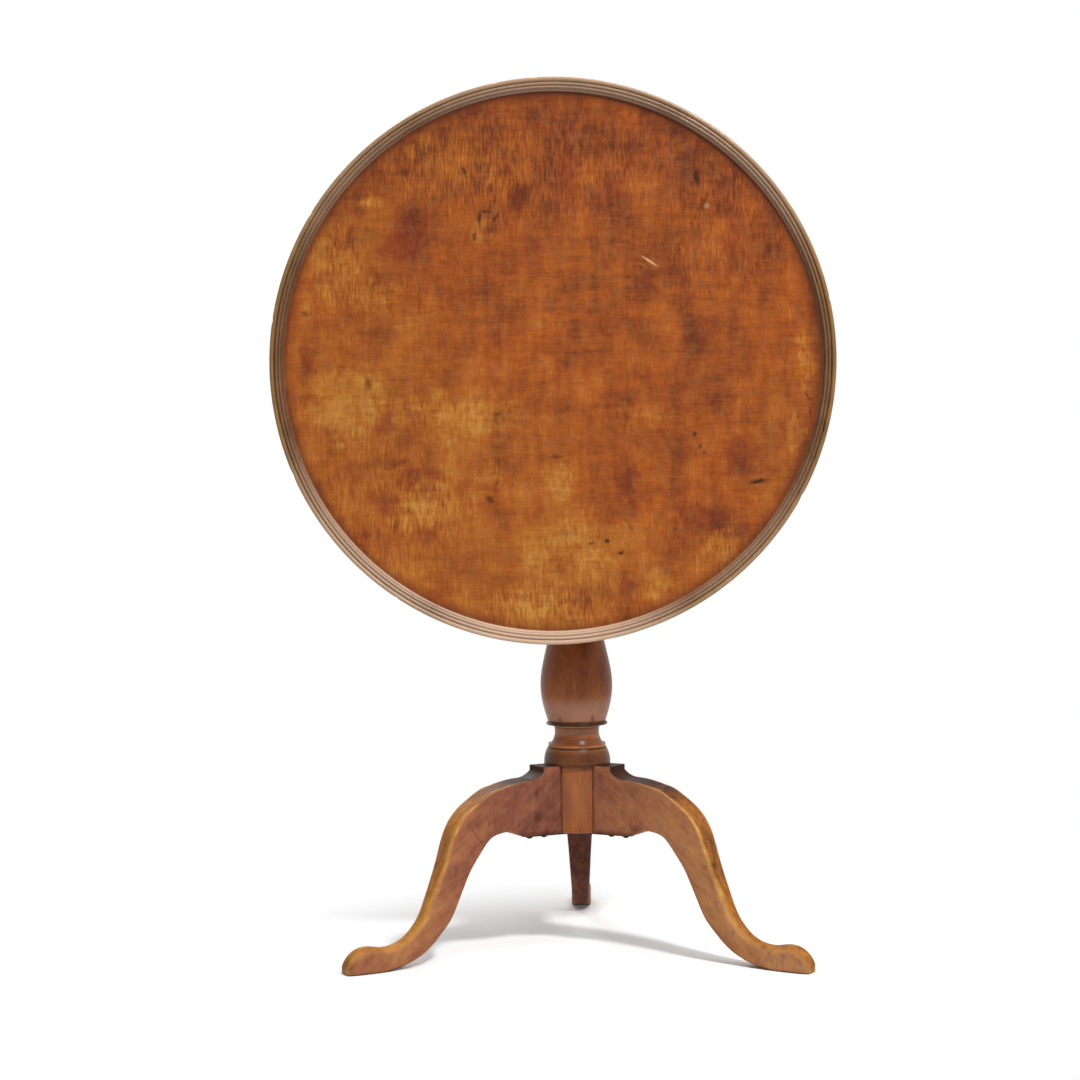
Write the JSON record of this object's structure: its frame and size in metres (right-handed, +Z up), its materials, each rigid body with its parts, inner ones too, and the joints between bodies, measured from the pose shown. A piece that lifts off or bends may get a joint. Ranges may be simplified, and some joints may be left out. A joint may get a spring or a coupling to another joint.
{
  "type": "tray top tea table",
  "caption": "Round tilt-top tea table: a dished top with a moulded rim tilts on a block over a turned column with cabriole legs, and latches flat for use.",
  "frame": {"origin": "on the floor, under the axis of the column", "axes": "+Z up along the column, -Y the way the dished face of the tilted top looks, +X to the right of someone facing it"},
  "size_m": [0.7, 0.4986, 1.0957],
  "materials": {
    "top_wood": "old shellac over figured hardwood, worn",
    "stand_wood": "old shellac over hardwood, rubbed bright along its edges",
    "under_wood": "oxidised hardwood, no polish",
    "iron": "forged, dark with age",
    "brass": "cast and filed, tarnished"
  },
  "bodies": {
    "stand": {"column": "stand_wood", "tenon_wedge": "under_wood", "left_leg": "stand_wood", "right_leg": "stand_wood", "rear_leg": "stand_wood", "spider_brace": "iron", "spider_nails": "iron", "tilt_block": "under_wood", "strike_plate": "brass", "strike_screws": "brass"},
    "top": {"tray_top": "top_wood", "left_batten": "under_wood", "right_batten": "under_wood", "batten_screws": "iron", "latch_plate": "brass", "latch_guides": "brass", "latch_spring": "brass", "latch_screws": "brass"},
    "latch": {"latch_bolt": "brass", "latch_knob": "brass"}
  },
  "joints": [
    {"name": "top_tilt", "type": "hinge", "parent": "stand", "child": "top", "pos_m": [0, -0.072, 0.6737], "axis": [-1, 0, 0], "range_deg": [0, 90]},
    {"name": "latch_slide", "type": "slide", "parent": "top", "child": "latch", "axis": [0, 0, 1], "range_m": [0, 0.007], "stiffness_N_per_m": 300, "springref_m": -0.012, "deforming": ["latch_spring"]}
  ]
}
